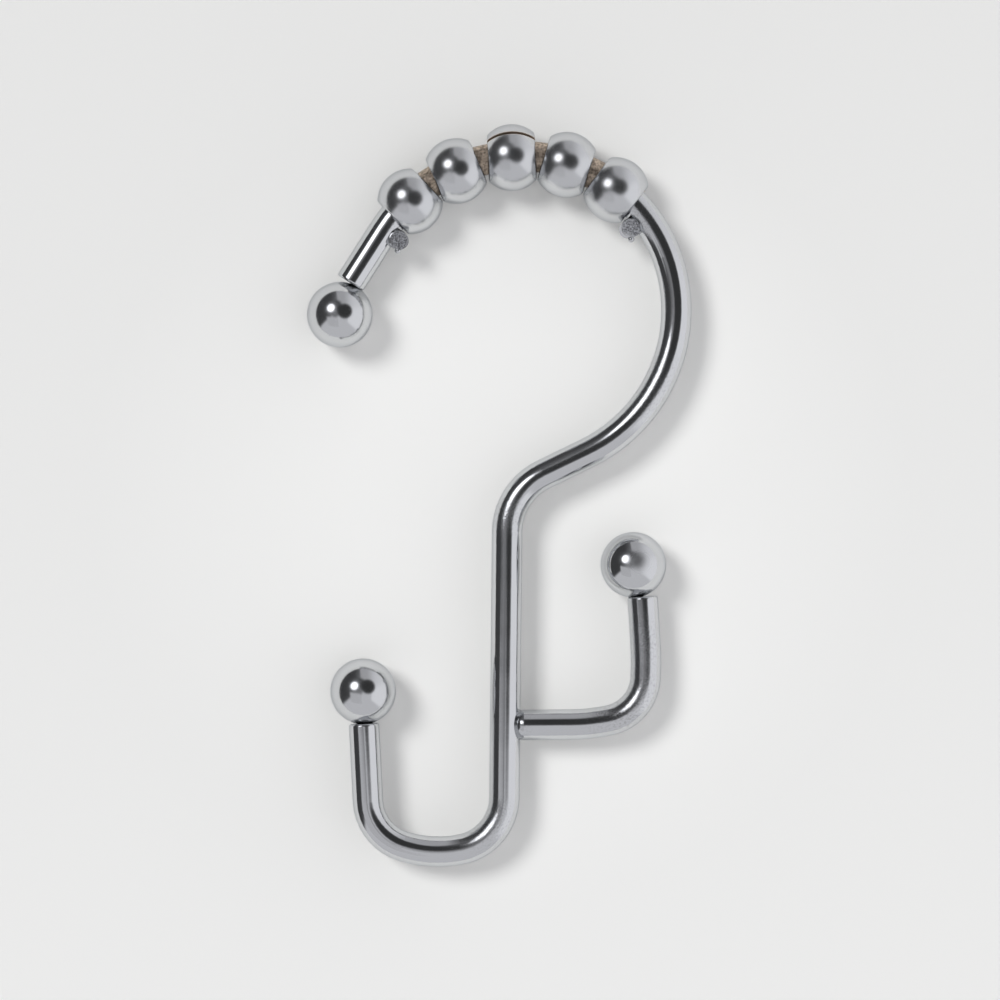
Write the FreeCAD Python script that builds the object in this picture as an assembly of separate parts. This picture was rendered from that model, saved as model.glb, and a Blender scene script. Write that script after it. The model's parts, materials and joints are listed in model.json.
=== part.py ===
"""Double shower curtain hook with five rollers, all of plated steel wire and balls.

One long bent wire makes the bowl that hangs on the rod, the shank and the curtain hook.
A short bent wire is welded to the side of the shank and carries the liner. A solid ball is
welded to each of the three free ends. Five hollow beads turn loose on the crown of the
bowl, between two short studs that are welded to the wire and sheared off.

The hook lies flat, as it comes to rest. +X is to the right of the bowl, +Y from the curtain
hook up to the rod, +Z up from the table. The origin is under the middle of the hook's
footprint, on the table. Sizes are in millimetres and angles in degrees.
"""
import FreeCAD
import Part
import math
import os
from FreeCAD import Vector

# Wire and balls
WIRE_D = 3.7
BALL_D = 8.0
BALL_SINK = 0.1
TIP_END_ROUND = 0.3

# Frame wire, from the rod tip to the curtain tip, as the bender makes it:
# straight runs, and bends given by the radius of the wire's middle line and the turn.
# A turn to the left is positive.
STUB_HEADING = 57.4
STUB_RUN = 7.6
CROWN_R = 19.6
CROWN_TURN = -94.0
SHOULDER_R = 18.0
SHOULDER_TURN = -33.5
CHEEK_R = 19.3
CHEEK_TURN = -84.0
NECK_RUN = 5.9
KNEE_R = 7.8
KNEE_TURN = 63.5
SHANK_RUN = 32.3
HEEL_R = 6.5
HEEL_TURN = -78.5
SOLE_R = 14.5
SOLE_TURN = -28.5
TOE_R = 6.0
TOE_TURN = -69.5
CURTAIN_RUN = 9.5

# Branch wire, from the shank to the liner tip
BRANCH_DROP = 23.5
BRANCH_ANGLE = 91.1
BRANCH_SINK = 0.75
BRANCH_END_ROUND = 1.2
BRANCH_RUN = 6.8
BRANCH_SWELL_R = 25.0
BRANCH_SWELL_TURN = 11.0
BRANCH_ELBOW_R = 5.5
BRANCH_ELBOW_TURN = 75.5
BRANCH_ARM_R = 39.0
BRANCH_ARM_TURN = 6.5
LINER_RUN = 5.55

# How far each end ball sits beside the middle line of its wire, to the left of the way out
ROD_BALL_OFFSET = 1.0
CURTAIN_BALL_OFFSET = -0.1
LINER_BALL_OFFSET = 0.88

# Rollers: beads curled from sheet, with an open seam from hole to hole.
# The lip of a hole is a bend of LIP_R whose centre lies LIP_DIP outside the hole's wall.
# On the sprung roller the sheet stands out on one side of the seam.
ROLLER_COUNT = 5
ROLLER_D = 8.0
ROLLER_WALL = 0.4
LIP_R = 0.5
LIP_DIP = 0.35
BORE_CLEARANCE = 0.35
SEAM_WIDTH = 0.25
SEAM_ANGLES = (205.0, 150.0, 44.0, 250.0, 120.0)
SPRUNG_ROLLER = 3
SEAM_SPRING = 0.15
FIRST_ROLLER_AT = 12.4
ROLLER_GAP = 0.1
SLACK_AFTER_SECOND = 0.2

# Stop studs: slugs of thin wire welded across the inner side of the bowl and sheared off
STUD_D = 2.1
STUD_LENGTH = 3.6
STUD_SINK = 0.6
STUD_GAP = 0.3
SHEAR_ANGLE = 12.0
FLASH_D = 2.4
FLASH_SHIFT = 0.32
FLASH_LENGTH = 3.3
FLASH_ROUND = 0.3
BURR_D = 0.8
BURR_PLACE = Vector(-1.12, -0.42, 1.45)
LEFT_STUD_LEAN = 4.0
RIGHT_STUD_LEAN = 16.0

# Worked out from the sizes above
WIRE_R = WIRE_D / 2
BALL_R = BALL_D / 2
ROLLER_R = ROLLER_D / 2
BORE_R = WIRE_R + BORE_CLEARANCE
LIP_RADIAL = BORE_R + LIP_DIP
LIP_X = math.sqrt((ROLLER_R - LIP_R) ** 2 - LIP_RADIAL ** 2)
HALF_LENGTH = LIP_X + LIP_R
WALK_STEP = 0.01


def turned(vector, degrees):
    """The vector turned about +Z, to the left for a positive angle."""
    angle = math.radians(degrees)
    return Vector(
        vector.x * math.cos(angle) - vector.y * math.sin(angle),
        vector.x * math.sin(angle) + vector.y * math.cos(angle),
        vector.z,
    )


def heading_vector(degrees):
    return turned(Vector(1, 0, 0), degrees)


# Routes: the middle line of a wire as a list of spans, each a run or a bend
def lay_out(start, heading, steps):
    """Spans that follow each other without a kink. A run has no radius and gives its length,
    a bend gives its radius and its turn."""
    spans = []
    place = Vector(start)
    for name, radius, amount in steps:
        span = {"name": name, "start": place, "heading": heading, "radius": radius}
        if radius is None:
            span["length"] = amount
            place = place + heading_vector(heading) * amount
        else:
            side = math.copysign(1, amount)
            hub = place + heading_vector(heading + side * 90) * radius
            span["length"] = radius * math.radians(abs(amount))
            span["turn"] = amount
            span["hub"] = hub
            place = hub + turned(place - hub, amount)
            heading = heading + amount
        spans.append(span)
    return spans


def along(spans, distance):
    """Place and heading on a route at a distance from its start."""
    left = distance
    for span in spans:
        if left <= span["length"] or span is spans[-1]:
            break
        left = left - span["length"]
    if span["radius"] is None:
        return span["start"] + heading_vector(span["heading"]) * left, span["heading"]
    turn = span["turn"] * left / span["length"]
    return span["hub"] + turned(span["start"] - span["hub"], turn), span["heading"] + turn


def route_length(spans):
    return sum(span["length"] for span in spans)


def distance_to(spans, name):
    """Length of route before the span of that name."""
    names = [span["name"] for span in spans]
    return route_length(spans[: names.index(name)])


def end_rims(wire, place):
    """The edges round a wire's end."""
    return [
        edge
        for edge in wire.Edges
        if edge.BoundBox.Center.distanceToPoint(place) < WIRE_R / 4
    ]


def round_wire(spans):
    """A round wire along a route: a rod for each run and a piece of a ring for each bend."""
    pieces = []
    for span in spans:
        direction = heading_vector(span["heading"])
        if span["radius"] is None:
            pieces.append(Part.makeCylinder(WIRE_R, span["length"], span["start"], direction))
            continue
        edge = Part.makeCircle(WIRE_R, span["start"], direction)
        section = Part.Face(Part.Wire(edge))
        pieces.append(section.revolve(span["hub"], Vector(0, 0, 1), span["turn"]))
    solid = pieces[0]
    for piece in pieces[1:]:
        solid = solid.fuse(piece)
    return solid.removeSplitter()


def deburred(wire, place):
    """The wire with the rim of one end rounded."""
    return wire.makeFillet(TIP_END_ROUND, end_rims(wire, place))


# Frame wire
def frame_route():
    steps = [
        ("stub", None, STUB_RUN),
        ("crown", CROWN_R, CROWN_TURN),
        ("shoulder", SHOULDER_R, SHOULDER_TURN),
        ("cheek", CHEEK_R, CHEEK_TURN),
        ("neck", None, NECK_RUN),
        ("knee", KNEE_R, KNEE_TURN),
        ("shank", None, SHANK_RUN),
        ("heel", HEEL_R, HEEL_TURN),
        ("sole", SOLE_R, SOLE_TURN),
        ("toe", TOE_R, TOE_TURN),
        ("curtain arm", None, CURTAIN_RUN),
    ]
    return lay_out(Vector(0, 0, BALL_R), STUB_HEADING, steps)


# Branch wire
def branch_route(frame):
    """Starts inside the shank's side by the depth that the weld sinks it."""
    on_shank, shank_heading = along(frame, distance_to(frame, "shank") + BRANCH_DROP)
    heading = shank_heading + BRANCH_ANGLE
    start = on_shank + heading_vector(heading) * (WIRE_R - BRANCH_SINK)
    steps = [
        ("branch", None, BRANCH_RUN),
        ("swell", BRANCH_SWELL_R, BRANCH_SWELL_TURN),
        ("elbow", BRANCH_ELBOW_R, BRANCH_ELBOW_TURN),
        ("arm", BRANCH_ARM_R, BRANCH_ARM_TURN),
        ("liner arm", None, LINER_RUN),
    ]
    return lay_out(start, heading, steps)


def branch_wire(route, frame_solid):
    """The end at the shank is rounded over and seats in a saddle on the shank's side."""
    tip, _ = along(route, route_length(route))
    wire = deburred(round_wire(route), tip)
    rims = end_rims(wire, route[0]["start"])
    return wire.makeFillet(BRANCH_END_ROUND, rims).cut(frame_solid)


# End balls
def end_ball(tip, way_out, offset):
    """A solid ball with the small flat that the weld presses on it at the wire's end."""
    outward = heading_vector(way_out)
    sideways = heading_vector(way_out + 90)
    middle = tip + outward * (BALL_R - BALL_SINK) + sideways * offset
    flat_latitude = -math.degrees(math.asin((BALL_R - BALL_SINK) / BALL_R))
    return Part.makeSphere(BALL_R, middle, outward, flat_latitude, 90, 360)


# Rollers
def roller_places(frame):
    """Rests each roller on two points of the wire, one in each hole, clear of the one before."""
    places = []
    distance = FIRST_ROLLER_AT
    for index in range(ROLLER_COUNT):
        if places:
            gap = ROLLER_GAP + (SLACK_AFTER_SECOND if index == 2 else 0)
            distance = distance + 2 * HALF_LENGTH
            while lip_gap(places[-1], roller_place(frame, distance)) < gap:
                distance = distance + WALK_STEP
        places.append(roller_place(frame, distance))
    return places


def roller_place(frame, distance):
    rear, _ = along(frame, distance - HALF_LENGTH)
    front, _ = along(frame, distance + HALF_LENGTH)
    axis = (front - rear).normalize()
    return {"middle": (rear + front) * 0.5, "axis": axis, "at": distance}


def lip_centre(place, end):
    """Middle of the lip's round edge on the inner side of the bowl, at the end +1 or -1."""
    inward = turned(place["axis"], -90)
    return place["middle"] + place["axis"] * (end * LIP_X) + inward * LIP_RADIAL


def lip_gap(place, following):
    between = lip_centre(following, -1) - lip_centre(place, 1)
    return between.dot((place["axis"] + following["axis"]).normalize()) - 2 * LIP_R


def bead():
    """Sheet curled in to a round lip at both holes, turned about the X axis."""
    inner_r = ROLLER_R - ROLLER_WALL
    lean = math.atan2(LIP_RADIAL, LIP_X)
    dip = math.asin(LIP_DIP / LIP_R)

    def point(x, radial, radius, angle):
        return Vector(x + radius * math.cos(angle), radial + radius * math.sin(angle), 0)

    def mirrored(place):
        return Vector(-place.x, place.y, 0)

    outer = point(0, 0, ROLLER_R, lean)
    lip = point(LIP_X, LIP_RADIAL, LIP_R, (lean - dip) / 2)
    land_out = point(LIP_X, LIP_RADIAL, LIP_R, -dip)
    land_in = Vector(LIP_X, BORE_R, 0)
    inner = point(0, 0, inner_r, lean)
    edges = [
        Part.Arc(mirrored(outer), Vector(0, ROLLER_R, 0), outer).toShape(),
        Part.Arc(outer, lip, land_out).toShape(),
        Part.makeLine(land_out, land_in),
        Part.makeLine(land_in, inner),
        Part.Arc(inner, Vector(0, inner_r, 0), mirrored(inner)).toShape(),
        Part.makeLine(mirrored(inner), mirrored(land_in)),
        Part.makeLine(mirrored(land_in), mirrored(land_out)),
        Part.Arc(mirrored(land_out), mirrored(lip), mirrored(outer)).toShape(),
    ]
    profile = Part.Face(Part.Wire(edges))
    return profile.revolve(Vector(0, 0, 0), Vector(1, 0, 0), 360)


def sprung_bead():
    """A bead whose quarter beside the seam is turned about an axis that lies SEAM_SPRING
    nearer to the seam. The two parts meet on the plane between their axes."""
    corner = Vector(-ROLLER_D, 0, SEAM_SPRING / 2)
    quarter = Part.makeBox(2 * ROLLER_D, ROLLER_D, ROLLER_D, corner)
    flap = bead()
    flap.translate(Vector(0, 0, SEAM_SPRING))
    return bead().cut(quarter).fuse(flap.common(quarter))


def roller(place, seam_angle, sprung):
    """A bead with its seam turned about the axis, 0 at the top, then set on the wire."""
    corner = Vector(-ROLLER_D, -SEAM_WIDTH / 2, 0)
    slot = Part.makeBox(2 * ROLLER_D, SEAM_WIDTH, ROLLER_D, corner)
    shape = (sprung_bead() if sprung else bead()).cut(slot)
    shape.rotate(Vector(0, 0, 0), Vector(1, 0, 0), -seam_angle)
    heading = math.degrees(math.atan2(place["axis"].y, place["axis"].x))
    shape.rotate(Vector(0, 0, 0), Vector(0, 0, 1), heading)
    shape.translate(place["middle"])
    return shape


# Stop studs
def stud_centre(frame, distance):
    on_wire, heading = along(frame, distance)
    return on_wire + heading_vector(heading - 90) * (WIRE_R + STUD_D / 2 - STUD_SINK)


def stud_place(frame, place, end):
    """Walks along the wire from a roller's end until the stud clears the lip."""
    lip = lip_centre(place, end)
    distance = place["at"] + end * HALF_LENGTH
    while (stud_centre(frame, distance) - lip).Length < LIP_R + STUD_D / 2 + STUD_GAP:
        distance = distance + end * WALK_STEP
    return distance


def weld_flash():
    """Metal pressed out of the weld: a low round pad between the slug and the wire."""
    foot = Vector(0, FLASH_SHIFT, -FLASH_LENGTH / 2)
    pad = Part.makeCylinder(FLASH_D / 2, FLASH_LENGTH, foot)
    rims = [edge for edge in pad.Edges if edge.BoundBox.ZLength < FLASH_ROUND]
    return pad.makeFillet(FLASH_ROUND, rims)


def stop_stud(frame, frame_solid, place, end, lean):
    """A slug across the wire's inner side, leaning in at the top, with sheared ends, the
    flash of its weld and a burr at its face."""
    distance = stud_place(frame, place, end)
    middle = stud_centre(frame, distance)
    _, heading = along(frame, distance)
    slug = Part.makeCylinder(STUD_D / 2, 2 * STUD_LENGTH, Vector(0, 0, -STUD_LENGTH))
    for top in (1, -1):
        blade = Part.makeBox(
            4 * STUD_D,
            4 * STUD_D,
            STUD_LENGTH,
            Vector(-2 * STUD_D, -2 * STUD_D, STUD_LENGTH / 2),
        )
        blade.rotate(Vector(0, 0, STUD_LENGTH / 2), Vector(0, 1, 0), SHEAR_ANGLE)
        if top < 0:
            blade.rotate(Vector(0, 0, 0), Vector(1, 0, 0), 180)
        slug = slug.cut(blade)
    burr = Part.makeSphere(BURR_D / 2, Vector(BURR_PLACE.x * -end, BURR_PLACE.y, BURR_PLACE.z))
    slug = slug.fuse(weld_flash()).fuse(burr)
    slug.rotate(Vector(0, 0, 0), Vector(1, 0, 0), lean)
    slug.rotate(Vector(0, 0, 0), Vector(0, 0, 1), heading)
    slug.translate(middle)
    return slug.cut(frame_solid)


# Assembly
def build():
    frame = frame_route()
    curtain_tip, curtain_heading = along(frame, route_length(frame))
    frame_solid = deburred(round_wire(frame), frame[0]["start"])
    frame_solid = deburred(frame_solid, curtain_tip)
    branch = branch_route(frame)
    liner_tip, liner_heading = along(branch, route_length(branch))
    shapes = {
        "frame_wire": frame_solid,
        "branch_wire": branch_wire(branch, frame_solid),
        "rod_tip_ball": end_ball(frame[0]["start"], STUB_HEADING + 180, ROD_BALL_OFFSET),
        "curtain_tip_ball": end_ball(curtain_tip, curtain_heading, CURTAIN_BALL_OFFSET),
        "liner_tip_ball": end_ball(liner_tip, liner_heading, LINER_BALL_OFFSET),
    }
    places = roller_places(frame)
    for number, place in enumerate(places, start=1):
        sprung = number == SPRUNG_ROLLER
        shapes["roller_ball_%d" % number] = roller(place, SEAM_ANGLES[number - 1], sprung)
    shapes["left_stop_stud"] = stop_stud(frame, frame_solid, places[0], -1, LEFT_STUD_LEAN)
    shapes["right_stop_stud"] = stop_stud(frame, frame_solid, places[-1], 1, RIGHT_STUD_LEAN)
    return shapes, places


def centre_on_table(shapes, places):
    """Moves the whole hook so that the origin is under the middle of its footprint."""
    box = FreeCAD.BoundBox()
    for shape in shapes.values():
        box.add(shape.optimalBoundingBox())
    shift = Vector(-box.Center.x, -box.Center.y, -box.ZMin)
    for shape in shapes.values():
        shape.translate(shift)
    for place in places:
        place["middle"] = place["middle"] + shift
    return shift


shapes, places = build()
shift = centre_on_table(shapes, places)
os.makedirs("parts", exist_ok=True)
for name, shape in shapes.items():
    shape.exportStep("parts/%s.step" % name)
    print(name, "volume", round(shape.Volume, 2), "valid", shape.isValid(), len(shape.Solids))
print("shift", [round(value, 4) for value in shift])
for place in places:
    middle = [round(value, 4) for value in place["middle"]]
    axis = [round(value, 5) for value in place["axis"]]
    print("roller", middle, axis, "at", round(place["at"], 2))
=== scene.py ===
import bpy
import json
import math
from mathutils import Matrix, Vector


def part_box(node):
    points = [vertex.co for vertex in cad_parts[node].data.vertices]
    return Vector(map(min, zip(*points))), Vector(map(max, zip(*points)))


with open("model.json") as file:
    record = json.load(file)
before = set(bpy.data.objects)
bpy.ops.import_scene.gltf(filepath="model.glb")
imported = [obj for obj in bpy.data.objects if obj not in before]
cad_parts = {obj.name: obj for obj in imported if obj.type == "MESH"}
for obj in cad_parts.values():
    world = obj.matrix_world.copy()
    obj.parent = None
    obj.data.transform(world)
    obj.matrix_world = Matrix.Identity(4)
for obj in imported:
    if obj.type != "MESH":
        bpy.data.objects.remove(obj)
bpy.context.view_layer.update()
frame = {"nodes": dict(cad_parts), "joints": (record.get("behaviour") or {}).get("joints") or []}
bpy.ops.object.select_all(action="DESELECT")

# Viewpoint
# The hook lies flat and is looked at from straight above. The middle of the picture is on
# the level of the wires' middle lines, and the picture is view_width wide there.
view_middle = Vector((0.000094, -0.000542, 0.0040))
view_width = 0.1215
view_distance = 0.5
nearest_seen = 0.05
farthest_seen = 20.0
sensor_width = 36.0
camera_data = bpy.data.cameras.new("camera_above")
camera_data.sensor_width = sensor_width
camera_data.lens = sensor_width * view_distance / view_width
camera_data.clip_start = nearest_seen
camera_data.clip_end = farthest_seen
camera = bpy.data.objects.new("camera_above", camera_data)
camera.location = view_middle + Vector((0, 0, view_distance))
bpy.context.scene.collection.objects.link(camera)
bpy.context.scene.camera = camera
bpy.context.scene.view_settings.view_transform = "Standard"

# Table
# A plain matt pale board. Its colour holds painted light: a pool of painted light under the hook,
# and a painted fall of light from the near side, paler, to the far side, darker. A faint glow
# that only the camera and reflections see keeps it white beside the bright chrome.
table_size = 6.0
table_middle = Vector((0, 0, 0))
# Board colours with painted light in them: the far one darker, the near one paler, the middle one
# paler still.
table_far_shaded_colour = (0.828, 0.828, 0.802, 1)
table_near_lit_colour = (0.875, 0.875, 0.848, 1)
table_middle_lit_colour = (0.918, 0.918, 0.889, 1)
table_light_fall_reach = 0.06
table_lit_middle_reach = (0.018, 0.050)
table_roughness = 0.9
table_shine = 0.2
table_glow = 0.05
table_glow_in_mirrors = 2.0


def feed(owner, value, socket):
    """Gives a socket of a material or world a plain value or the output of another node."""
    if isinstance(value, bpy.types.NodeSocket):
        owner.node_tree.links.new(value, socket)
    else:
        socket.default_value = value


def calc(owner, operation, *values):
    """One step of the nodes' arithmetic."""
    node = owner.node_tree.nodes.new("ShaderNodeMath")
    node.operation = operation
    for value, socket in zip(values, node.inputs):
        feed(owner, value, socket)
    return node.outputs[0]


def spread(owner, value, low, high, to_low, to_high, curve="LINEAR"):
    """Carries a value from one range to another, and holds it at both ends."""
    node = owner.node_tree.nodes.new("ShaderNodeMapRange")
    node.interpolation_type = curve
    for limit, socket in zip((low, high, to_low, to_high), list(node.inputs)[1:5]):
        socket.default_value = limit
    feed(owner, value, node.inputs["Value"])
    return node.outputs["Result"]


def own_place(owner):
    """Each point's place in the hook's frame."""
    return owner.node_tree.nodes.new("ShaderNodeTexCoord").outputs["Object"]


def along(owner, point, direction):
    """How far a point or a look reaches along a direction."""
    node = owner.node_tree.nodes.new("ShaderNodeVectorMath")
    node.operation = "DOT_PRODUCT"
    node.inputs[1].default_value = direction
    feed(owner, point, node.inputs[0])
    return node.outputs["Value"]


def height_over(owner, place, direction):
    """Distance from the plane through a place, counted along a direction."""
    reach = along(owner, own_place(owner), direction)
    return calc(owner, "SUBTRACT", reach, place.dot(direction))


def gap_to(owner, point, place):
    """Distance between a point and a place."""
    node = owner.node_tree.nodes.new("ShaderNodeVectorMath")
    node.operation = "DISTANCE"
    node.inputs[1].default_value = place
    feed(owner, point, node.inputs[0])
    return node.outputs["Value"]


def near(owner, place, inner, outer):
    """1 within the inner distance of a place, 0 beyond the outer one."""
    return spread(owner, gap_to(owner, own_place(owner), place), inner, outer, 1, 0)


def mixed_colour(owner, under, over, mask):
    """One colour laid over another where the mask is 1."""
    node = owner.node_tree.nodes.new("ShaderNodeMix")
    node.data_type = "RGBA"
    feed(owner, mask, node.inputs[0])
    feed(owner, under, node.inputs[6])
    feed(owner, over, node.inputs[7])
    return node.outputs[2]


def finish(material, name, value):
    """Sets one property of a material's surface."""
    feed(material, value, material.node_tree.nodes["Principled BSDF"].inputs[name])


bpy.ops.mesh.primitive_plane_add(size=table_size, location=table_middle)
table = bpy.context.object
table.name = "table"
table_top = bpy.data.materials.new("table_top")
table_top.use_nodes = True
# Painted light: the board's colour darkens towards the far side as the light falls off.
far_reach = height_over(table_top, table_middle, Vector((0, 1, 0)))
painted_light_fall = spread(table_top, far_reach, -table_light_fall_reach, table_light_fall_reach, 0, 1)
table_colour = mixed_colour(table_top, table_near_lit_colour, table_far_shaded_colour, painted_light_fall)
# Painted light: a paler pool in the board's colour under the hook, lifting the hook's shade on
# it.
painted_light_under_hook = near(table_top, table_middle, *table_lit_middle_reach)
table_colour = mixed_colour(table_top, table_colour, table_middle_lit_colour, painted_light_under_hook)
finish(table_top, "Base Color", table_colour)
finish(table_top, "Roughness", table_roughness)
finish(table_top, "Specular IOR Level", table_shine)
table_ray = table_top.node_tree.nodes.new("ShaderNodeLightPath")
in_mirror = table_ray.outputs["Is Glossy Ray"]
in_camera = table_ray.outputs["Is Camera Ray"]
table_seen = calc(table_top, "MULTIPLY_ADD", in_mirror, table_glow_in_mirrors, in_camera)
finish(table_top, "Emission Color", (1, 1, 1, 1))
finish(table_top, "Emission Strength", calc(table_top, "MULTIPLY", table_seen, table_glow))
table.data.materials.append(table_top)


# Studio tent and key light
# A grey paper tent stands round the table, paler on the right, where a card hangs. It is
# open towards the upper left, where the dark room shows and a round soft lamp hangs. The
# chrome mirrors that lamp, and a sun that it doesn't mirror casts the shadows.
def towards(tilt, turn):
    """Direction at a tilt from straight up and a turn to the left of +X, in degrees."""
    tilt = math.radians(tilt)
    turn = math.radians(turn)
    flat = math.sin(tilt)
    return Vector((flat * math.cos(turn), flat * math.sin(turn), math.cos(tilt)))


# A fade is a direction and the shares of a look along it between which it works. An edge
# runs from one direction to another, and a patch lies about one, with blurs in degrees.
straight_up = towards(0, 0)
tent_tint = (0.99, 0.99, 1.03, 1)
tent_grey = 0.665
tent_far_grey = 0.475
tent_far_fade = (towards(90, 85), 0.1, 0.8)
tent_right_grey = 0.80
tent_right_fade = (towards(90, 20), 0.45, 0.95)
card_pale = 0.93
card_edges = (
    (towards(32, 0), towards(90, -90), 2.0),
    (straight_up, towards(90, -43), 4.0),
    (towards(90, 22), straight_up, 14.0),
)
room_near_top = 0.20
room_dark = 0.06
room_fade = (towards(90, 160), 0.30, 0.75)
opening_edges = (
    (towards(75, 211), towards(33, 199), 4.0),
    (straight_up, towards(90, 98), 2.5),
)
neck_dark = 0.09
neck_patch = (towards(33, 108), 17, 6)
roof_grey = 0.20
roof_patch = (towards(14, 174), 12, 6)
key_way = towards(36.5, 144)
key_radius = 13.0
key_blur = 2.5
key_bright = 1.9
halo_width = 15.0
halo_bright = 0.3
sun_energy = 1.18
sun_softness = 20.0
backdrop_colour = (0.80, 0.80, 0.805, 1)

tent = bpy.data.worlds.new("tent")
tent.use_nodes = True
tent.node_tree.nodes.clear()
bpy.context.scene.world = tent
looking = tent.node_tree.nodes.new("ShaderNodeTexCoord").outputs["Generated"]


def tent_share(direction, low, high):
    """0 where the look's share along a direction is under low, 1 over high, smooth between."""
    return spread(tent, along(tent, looking, direction), low, high, 0, 1, "SMOOTHSTEP")


def tent_edge(first, second, blur):
    """The side to the left of a straight edge that runs from one direction to another."""
    normal = first.cross(second).normalized()
    return tent_share(normal, -math.sin(math.radians(blur)), math.sin(math.radians(blur)))


def tent_patch(direction, radius, blur):
    """A round patch about a direction."""
    low = math.cos(math.radians(radius + blur))
    high = math.cos(math.radians(radius - blur))
    return tent_share(direction, low, high)


def tent_halo(direction, width, strength):
    """A bell-shaped glow about a direction, down to about a third at its width."""
    sharpness = 2.0 / math.radians(width) ** 2
    fall = calc(tent, "SUBTRACT", along(tent, looking, direction), 1.0)
    fall = calc(tent, "MULTIPLY", fall, sharpness)
    return calc(tent, "MULTIPLY", calc(tent, "POWER", math.e, fall), strength)


def all_of(owner, masks):
    """1 where every mask is 1."""
    joined = masks[0]
    for mask in masks[1:]:
        joined = calc(owner, "MULTIPLY", joined, mask)
    return joined


def mixed_value(owner, under, over, mask):
    """One value laid over another where the mask is 1."""
    node = owner.node_tree.nodes.new("ShaderNodeMix")
    node.data_type = "FLOAT"
    feed(owner, mask, node.inputs[0])
    feed(owner, under, node.inputs[2])
    feed(owner, over, node.inputs[3])
    return node.outputs[0]


card = all_of(tent, [tent_edge(*edge) for edge in card_edges])
opening = all_of(tent, [tent_edge(*edge) for edge in opening_edges])
room = mixed_value(tent, room_near_top, room_dark, tent_share(*room_fade))
level = mixed_value(tent, tent_grey, tent_far_grey, tent_share(*tent_far_fade))
level = mixed_value(tent, level, tent_right_grey, tent_share(*tent_right_fade))
level = mixed_value(tent, level, card_pale, card)
level = mixed_value(tent, level, room, opening)
level = mixed_value(tent, level, neck_dark, tent_patch(*neck_patch))
level = mixed_value(tent, level, roof_grey, tent_patch(*roof_patch))
key_disc = calc(tent, "MULTIPLY", tent_patch(key_way, key_radius, key_blur), key_bright)
level = calc(tent, "ADD", level, key_disc)
level = calc(tent, "ADD", level, tent_halo(key_way, halo_width, halo_bright))

tent_light = tent.node_tree.nodes.new("ShaderNodeBackground")
tent_light.inputs["Color"].default_value = tent_tint
feed(tent, level, tent_light.inputs["Strength"])
backdrop = tent.node_tree.nodes.new("ShaderNodeBackground")
backdrop.inputs["Color"].default_value = backdrop_colour
tent_ray = tent.node_tree.nodes.new("ShaderNodeLightPath")
tent_seen = tent.node_tree.nodes.new("ShaderNodeMixShader")
feed(tent, tent_ray.outputs["Is Camera Ray"], tent_seen.inputs["Fac"])
feed(tent, tent_light.outputs["Background"], tent_seen.inputs[1])
feed(tent, backdrop.outputs["Background"], tent_seen.inputs[2])
tent_out = tent.node_tree.nodes.new("ShaderNodeOutputWorld")
feed(tent, tent_seen.outputs["Shader"], tent_out.inputs["Surface"])

key_data = bpy.data.lights.new("key_light", "SUN")
key_data.energy = sun_energy
key_data.angle = math.radians(sun_softness)
key_light = bpy.data.objects.new("key_light", key_data)
key_light.rotation_euler = key_way.to_track_quat("Z", "Y").to_euler()
key_light.visible_glossy = False
bpy.context.scene.collection.objects.link(key_light)

# Dark flag
# A round dark cloth on a stand, near the table and beside the top of the tent. It darkens
# the upper flanks of the wires and balls, and only reflections see it.
flag_way = towards(21.8, 43)
flag_distance = 0.24
flag_half_angle = 26.0
flag_r = flag_distance * math.tan(math.radians(flag_half_angle))
flag_blur = 0.026
flag_corners = 96
flag_colour = (0.97, 0.98, 1.0, 1)
flag_dark = 0.043
flag_middle = view_middle + flag_way * flag_distance


def hang(sheet, cloth, colour, level, there):
    """Hangs a sheet that only reflections see, in one plain glow where the mask is 1."""
    bpy.ops.object.transform_apply(location=True, rotation=True, scale=True)
    sheet.visible_camera = False
    sheet.visible_diffuse = False
    sheet.visible_shadow = False
    glow = cloth.node_tree.nodes.new("ShaderNodeEmission")
    glow.inputs["Color"].default_value = colour
    glow.inputs["Strength"].default_value = level
    clear = cloth.node_tree.nodes.new("ShaderNodeBsdfTransparent")
    mix = cloth.node_tree.nodes.new("ShaderNodeMixShader")
    feed(cloth, there, mix.inputs["Fac"])
    feed(cloth, clear.outputs["BSDF"], mix.inputs[1])
    feed(cloth, glow.outputs["Emission"], mix.inputs[2])
    out = cloth.node_tree.nodes.new("ShaderNodeOutputMaterial")
    feed(cloth, mix.outputs["Shader"], out.inputs["Surface"])
    sheet.data.materials.append(cloth)


bpy.ops.mesh.primitive_circle_add(
    vertices=flag_corners,
    radius=flag_r + flag_blur,
    fill_type="NGON",
    location=flag_middle,
    rotation=flag_way.to_track_quat("Z", "Y").to_euler(),
)
flag = bpy.context.object
flag.name = "dark_flag"
flag_cloth = bpy.data.materials.new("flag_cloth")
flag_cloth.use_nodes = True
flag_cloth.node_tree.nodes.clear()
flag_gap = gap_to(flag_cloth, own_place(flag_cloth), flag_middle)
flag_rim = (flag_r - flag_blur, flag_r + flag_blur)
flag_there = spread(flag_cloth, flag_gap, *flag_rim, 1, 0, "SMOOTHSTEP")
hang(flag, flag_cloth, flag_colour, flag_dark, flag_there)

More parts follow.
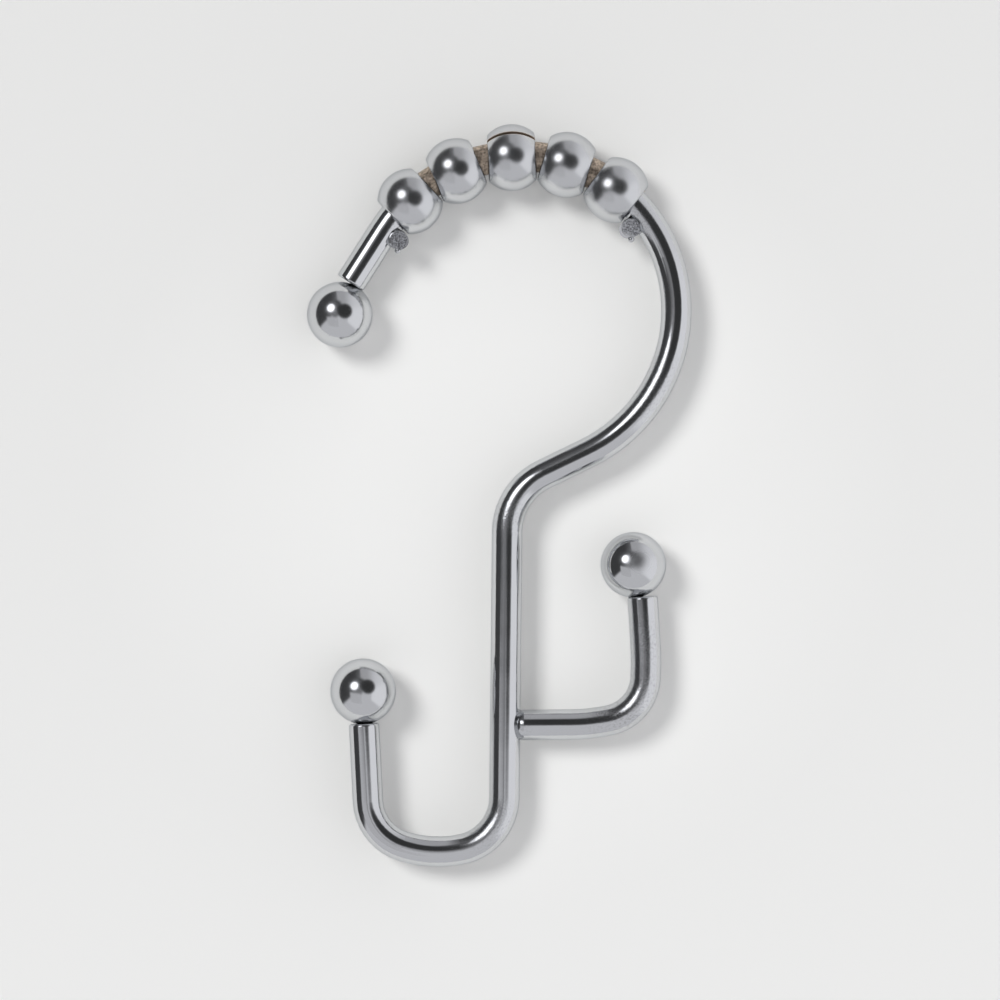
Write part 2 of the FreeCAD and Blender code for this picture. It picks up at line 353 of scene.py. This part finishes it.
# Low card
# A pale card that hangs flat over the near left of the table, and only reflections see it.
# It keeps the lower wires pale beside the flag. Each edge is a way inwards, its place
# along that way and its blur.
low_card_middle = Vector((-0.170, -0.110, 0.274))
low_card_size = 0.32
low_card_pale = 0.58
low_card_edges = (
    (Vector((1, 0, 0)), -0.282, 0.012),
    (Vector((-1, 0, 0)), 0.045, 0.020),
    (Vector((0, 1, 0)), -0.250, 0.020),
    (Vector((-0.085, -1, 0)), 0.0538, 0.026),
)
bpy.ops.mesh.primitive_plane_add(size=low_card_size, location=low_card_middle)
low_card = bpy.context.object
low_card.name = "low_card"
low_card_paper = bpy.data.materials.new("low_card_paper")
low_card_paper.use_nodes = True
low_card_paper.node_tree.nodes.clear()
sides = []
for way, edge, blur in low_card_edges:
    reach = along(low_card_paper, own_place(low_card_paper), way)
    side = spread(low_card_paper, reach, edge - blur, edge + blur, 0, 1, "SMOOTHSTEP")
    sides.append(side)
low_card_there = all_of(low_card_paper, sides)
hang(low_card, low_card_paper, tent_tint, low_card_pale, low_card_there)

# Frame wire
# One length of round steel wire, bent cold on a former and plated with bright chrome. The
# plating is gritty where the bends stretched the steel, with painted shade in darker specks
# for its fine pits there, and the bowl is left bare where the rollers turn.
mm = 0.001
chrome_colour = (0.635, 0.645, 0.655, 1)
chrome_rim_tint = (0.64, 0.65, 0.67, 1)
chrome_gloss = (0.09, 0.13)
gloss_cloud = (400.0, 4.0)
cloud_span = (0.3, 0.7)
# Painted shade: the darker chrome of the specks in fine pits.
pit_shade_colour = (0.50, 0.505, 0.515, 1)
pit_shade_cloud = (5200.0, 3.0)
flaw_core = 0.35
grit_cloud = 4800.0
grit_height = 15.0
ripple_cloud = 2500.0
wire_pit_shade_span = (0.52, 0.66)
wire_flaw_dull = 0.07
wire_wave_cloud = 110.0
wire_wave_height = 60.0
wire_ripple_height = 1.8
bare_steel_colour = (0.66, 0.545, 0.43, 1)
bare_steel_dark = (0.25, 0.20, 0.16, 1)
bare_cloud = (3200.0, 4.0)
bare_cloud_span = (0.36, 0.62)
bare_fade = 0.3 * mm
bare_metal = 0.8
bare_roughness = 0.40
bare_grit_height = 22.0


def spot(x, y, z=4.0):
    """A place given in millimetres."""
    return Vector((x, y, z)) * mm


wire_flaws = (
    (spot(-1.36, -39.67, 5.0), 4.5),
    (spot(0.70, -2.37, 5.0), 3.5),
    (spot(18.32, 13.43, 5.0), 6.0),
    (spot(16.86, 33.35, 5.0), 3.0),
    (spot(-12.0, 32.5, 5.0), 2.2),
    (spot(-17.4, 25.6), 1.8),
    (spot(-16.3, -27.9), 1.8),
)


def metal(name, colour):
    """A polished metal, all in one colour as yet."""
    material = bpy.data.materials.new(name)
    material.use_nodes = True
    finish(material, "Metallic", 1.0)
    finish(material, "Base Color", colour)
    finish(material, "Specular Tint", chrome_rim_tint)
    return material


def grain(material, scale, detail=2.0):
    """Clouds of a given number to the metre, about 0.5 on average."""
    cloud = material.node_tree.nodes.new("ShaderNodeTexNoise")
    cloud.inputs["Scale"].default_value = scale
    cloud.inputs["Detail"].default_value = detail
    feed(material, own_place(material), cloud.inputs["Vector"])
    return cloud.outputs["Fac"]


def flawed(material, flaws):
    """1 at the core of each flaw, 0 beyond its reach in millimetres."""
    joined = 0.0
    for place, reach in flaws:
        flaw = near(material, place, flaw_core * reach * mm, reach * mm)
        joined = calc(material, "MAXIMUM", joined, flaw)
    return joined


def painted_pit_shade(material, flaw, pit_shade_span):
    """Where fine pits get painted shade, as darker specks from none to full as the clouds cross
    the span, in the flaws only.
    """
    clouds = spread(material, grain(material, *pit_shade_cloud), *pit_shade_span, 0, 1)
    return calc(material, "MULTIPLY", clouds, flaw)


def clouded_gloss(material, cloud, glossy, dull):
    """Roughness that drifts between two values in soft clouds."""
    return spread(material, grain(material, *cloud), *cloud_span, glossy, dull)


def relief(material, waves):
    """Raises the surface by each wave times its height, in thousandths of a millimetre."""
    total = 0.0
    for wave, height in waves:
        total = calc(material, "MULTIPLY_ADD", wave, height, total)
    bump = material.node_tree.nodes.new("ShaderNodeBump")
    bump.inputs["Strength"].default_value = 1.0
    bump.inputs["Distance"].default_value = 0.001 * mm
    feed(material, total, bump.inputs["Height"])
    finish(material, "Normal", bump.outputs["Normal"])


def finish_node(name, material):
    """Gives a CAD piece its material."""
    node = frame["nodes"][name]
    node.data.materials.clear()
    node.data.materials.append(material)


wire_chrome = metal("wire_chrome", chrome_colour)
roller_places = [Vector(joint["pos_m"]) for joint in frame["joints"]]
row_chord = (roller_places[-1] - roller_places[0]).normalized()
row_outwards = Vector((-row_chord.y, row_chord.x, 0))
beyond_row = height_over(wire_chrome, roller_places[0], row_outwards)
bare = spread(wire_chrome, beyond_row, 0.0, bare_fade, 0, 1)
bare_mottle = spread(wire_chrome, grain(wire_chrome, *bare_cloud), *bare_cloud_span, 0, 1)
bare_colour = mixed_colour(wire_chrome, bare_steel_dark, bare_steel_colour, bare_mottle)
wire_flaw = flawed(wire_chrome, wire_flaws)
# Painted shade in the fine pits, as darker specks in the wire's colour.
wire_pit_shade = painted_pit_shade(wire_chrome, wire_flaw, wire_pit_shade_span)
wire_colour = mixed_colour(wire_chrome, chrome_colour, pit_shade_colour, wire_pit_shade)
wire_gloss = clouded_gloss(wire_chrome, gloss_cloud, *chrome_gloss)
wire_gloss = calc(wire_chrome, "MULTIPLY_ADD", wire_flaw, wire_flaw_dull, wire_gloss)
wire_grit = grain(wire_chrome, grit_cloud)
finish(wire_chrome, "Base Color", mixed_colour(wire_chrome, wire_colour, bare_colour, bare))
finish(wire_chrome, "Metallic", mixed_value(wire_chrome, 1.0, bare_metal, bare))
finish(wire_chrome, "Roughness", mixed_value(wire_chrome, wire_gloss, bare_roughness, bare))
relief(
    wire_chrome,
    (
        (grain(wire_chrome, wire_wave_cloud), wire_wave_height),
        (grain(wire_chrome, ripple_cloud), wire_ripple_height),
        (calc(wire_chrome, "MULTIPLY", wire_grit, wire_flaw), grit_height),
        (calc(wire_chrome, "MULTIPLY", wire_grit, bare), bare_grit_height),
    ),
)
finish_node("frame_wire", wire_chrome)

# Branch wire
# A shorter length of the same wire, welded to the side of the shank for the liner. Its
# plating is rougher, most of all round the elbow and beside the weld.
branch_flaws = (
    (spot(2.6, -27.6), 2.6),
    (spot(15.65, -24.85, 5.0), 7.0),
    (spot(16.6, -18.0, 5.0), 4.5),
    (spot(16.3, -12.4), 1.8),
)
branch_pit_shade_span = (0.50, 0.64)
branch_flaw_dull = 0.06
branch_wave_cloud = 130.0
branch_wave_height = 70.0
branch_ripple_height = 2.5
branch_chrome = metal("branch_chrome", chrome_colour)
branch_flaw = flawed(branch_chrome, branch_flaws)
# Painted shade in the fine pits, as darker specks in the branch's colour.
branch_pit_shade = painted_pit_shade(branch_chrome, branch_flaw, branch_pit_shade_span)
branch_gloss = clouded_gloss(branch_chrome, gloss_cloud, *chrome_gloss)
branch_gloss = calc(branch_chrome, "MULTIPLY_ADD", branch_flaw, branch_flaw_dull, branch_gloss)
branch_grit = calc(branch_chrome, "MULTIPLY", grain(branch_chrome, grit_cloud), branch_flaw)
branch_colour = mixed_colour(branch_chrome, chrome_colour, pit_shade_colour, branch_pit_shade)
finish(branch_chrome, "Base Color", branch_colour)
finish(branch_chrome, "Roughness", branch_gloss)
relief(
    branch_chrome,
    (
        (grain(branch_chrome, branch_wave_cloud), branch_wave_height),
        (grain(branch_chrome, ripple_cloud), branch_ripple_height),
        (branch_grit, grit_height),
    ),
)
finish_node("branch_wire", branch_chrome)

# End balls
# Solid steel balls with bright chrome, each welded to the cut end of a wire. The liner's
# ball carries a dull round mark on top, and each weld leaves grit.
ball_r = 4.0 * mm
ball_welds = {"rod": 62.0, "curtain": -88.0, "liner": -90.0}
ball_gloss = {"rod": 0.13, "curtain": 0.13, "liner": 0.09}
ball_gloss_drift = 0.02
ball_gloss_cloud = (500.0, 4.0)
ball_wave_cloud = 350.0
ball_wave_height = 4.0
ball_ripple_height = 0.5
weld_grit_reach = (1.5 * mm, 2.6 * mm)
weld_grit_dull = 0.10
weld_grit_cloud = 6000.0
weld_grit_height = 6.0
mark_place = spot(0.8, 0.4, 3.9)
mark_reach = (0.9 * mm, 2.1 * mm)
mark_dull = 0.26
for tip, weld_turn in ball_welds.items():
    ball_chrome = metal(tip + "_ball_chrome", chrome_colour)
    ball_low, ball_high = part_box(tip + "_tip_ball")
    ball_middle = (Vector(ball_low) + Vector(ball_high)) / 2
    weld_turn = math.radians(weld_turn)
    weld = ball_middle + Vector((math.cos(weld_turn), math.sin(weld_turn), 0)) * ball_r
    weld_grit = near(ball_chrome, weld, *weld_grit_reach)
    glossy = ball_gloss[tip]
    gloss = clouded_gloss(ball_chrome, ball_gloss_cloud, glossy, glossy + ball_gloss_drift)
    gloss = calc(ball_chrome, "MULTIPLY_ADD", weld_grit, weld_grit_dull, gloss)
    if tip == "liner":
        mark = near(ball_chrome, ball_middle + mark_place, *mark_reach)
        gloss = calc(ball_chrome, "MULTIPLY_ADD", mark, mark_dull, gloss)
    finish(ball_chrome, "Roughness", gloss)
    weld_grains = calc(ball_chrome, "MULTIPLY", grain(ball_chrome, weld_grit_cloud), weld_grit)
    relief(
        ball_chrome,
        (
            (grain(ball_chrome, ball_wave_cloud), ball_wave_height),
            (grain(ball_chrome, ripple_cloud), ball_ripple_height),
            (weld_grains, weld_grit_height),
        ),
    )
    finish_node(tip + "_tip_ball", ball_chrome)

# Rollers
# Hollow beads curled from steel sheet, loose on the bowl, with an open seam whose cut
# edges stay raw. Their chrome mirrors more softly than the wire's.
seam_turns = (205, 150, 44, 250, 120)
roller_gloss = (0.19, 0.19, 0.20, 0.21, 0.22)
roller_gloss_drift = 0.03
roller_gloss_cloud = (700.0, 4.0)
roller_wave_cloud = 350.0
roller_wave_height = 5.0
roller_ripple_cloud = (3500.0, 3.0)
roller_ripple_height = 1.2
raw_edge_reach = (0.135 * mm, 0.195 * mm)
raw_edge_roughness = 0.5
seam_side_fade = 1.0 * mm
for number, joint in enumerate(frame["joints"], 1):
    roller_chrome = metal("roller_chrome_%d" % number, chrome_colour)
    middle = Vector(joint["pos_m"])
    axle = Vector(joint["axis"])
    seam_turn = math.radians(seam_turns[number - 1])
    seam_way = straight_up * math.cos(seam_turn) + straight_up.cross(axle) * math.sin(seam_turn)
    across_seam = height_over(roller_chrome, middle, axle.cross(seam_way))
    beside_seam = calc(roller_chrome, "ABSOLUTE", across_seam)
    raw_edge = spread(roller_chrome, beside_seam, *raw_edge_reach, 1, 0)
    seam_height = height_over(roller_chrome, middle, seam_way)
    seam_side = spread(roller_chrome, seam_height, 0.0, seam_side_fade, 0, 1)
    raw = all_of(roller_chrome, [raw_edge, seam_side])
    roller_colour = mixed_colour(roller_chrome, chrome_colour, bare_steel_colour, raw)
    glossy = roller_gloss[number - 1]
    dull = glossy + roller_gloss_drift
    gloss = clouded_gloss(roller_chrome, roller_gloss_cloud, glossy, dull)
    gloss = mixed_value(roller_chrome, gloss, raw_edge_roughness, raw)
    finish(roller_chrome, "Base Color", roller_colour)
    finish(roller_chrome, "Roughness", gloss)
    relief(
        roller_chrome,
        (
            (grain(roller_chrome, roller_wave_cloud), roller_wave_height),
            (grain(roller_chrome, *roller_ripple_cloud), roller_ripple_height),
        ),
    )
    finish_node("roller_ball_%d" % number, roller_chrome)

# Stop studs
# Slugs of thin wire, welded to the bowl's inner side and sheared off above it. The sides
# are plated, and the torn face is dull grey steel.
stud_middles = {"left": spot(-12.11, 30.92), "right": spot(15.94, 32.43)}
stud_roughness = 0.10
stud_wave_cloud = 1500.0
stud_wave_height = 6.0
torn_r = 1.08 * mm
torn_rim_fade = 0.1 * mm
torn_level = Vector((0, 0, 5.45 * mm))
torn_level_fade = 0.2 * mm
torn_dark = (0.10, 0.10, 0.11, 1)
torn_pale = (0.44, 0.45, 0.47, 1)
torn_cloud = (5200.0, 4.0)
torn_cloud_span = (0.38, 0.62)
torn_metal = 0.35
torn_roughness = 0.45
torn_grain_cloud = (4500.0, 4.0)
torn_grain_height = 14.0
for side, stud_middle in stud_middles.items():
    stud_steel = metal(side + "_stud_steel", chrome_colour)
    flat_place = stud_steel.node_tree.nodes.new("ShaderNodeVectorMath")
    flat_place.operation = "MULTIPLY"
    flat_place.inputs[1].default_value = (1, 1, 0)
    feed(stud_steel, own_place(stud_steel), flat_place.inputs[0])
    flat_middle = (stud_middle.x, stud_middle.y, 0)
    from_middle = gap_to(stud_steel, flat_place.outputs["Vector"], flat_middle)
    within = spread(stud_steel, from_middle, torn_r, torn_r + torn_rim_fade, 1, 0)
    above = height_over(stud_steel, torn_level, straight_up)
    above = spread(stud_steel, above, 0.0, torn_level_fade, 0, 1)
    torn = all_of(stud_steel, [above, within])
    mottle = spread(stud_steel, grain(stud_steel, *torn_cloud), *torn_cloud_span, 0, 1)
    torn_colour = mixed_colour(stud_steel, torn_dark, torn_pale, mottle)
    finish(stud_steel, "Base Color", mixed_colour(stud_steel, chrome_colour, torn_colour, torn))
    finish(stud_steel, "Metallic", mixed_value(stud_steel, 1.0, torn_metal, torn))
    finish(stud_steel, "Roughness", mixed_value(stud_steel, stud_roughness, torn_roughness, torn))
    torn_grain = calc(stud_steel, "MULTIPLY", grain(stud_steel, *torn_grain_cloud), torn)
    relief(
        stud_steel,
        (
            (grain(stud_steel, stud_wave_cloud), stud_wave_height),
            (torn_grain, torn_grain_height),
        ),
    )
    finish_node(side + "_stop_stud", stud_steel)
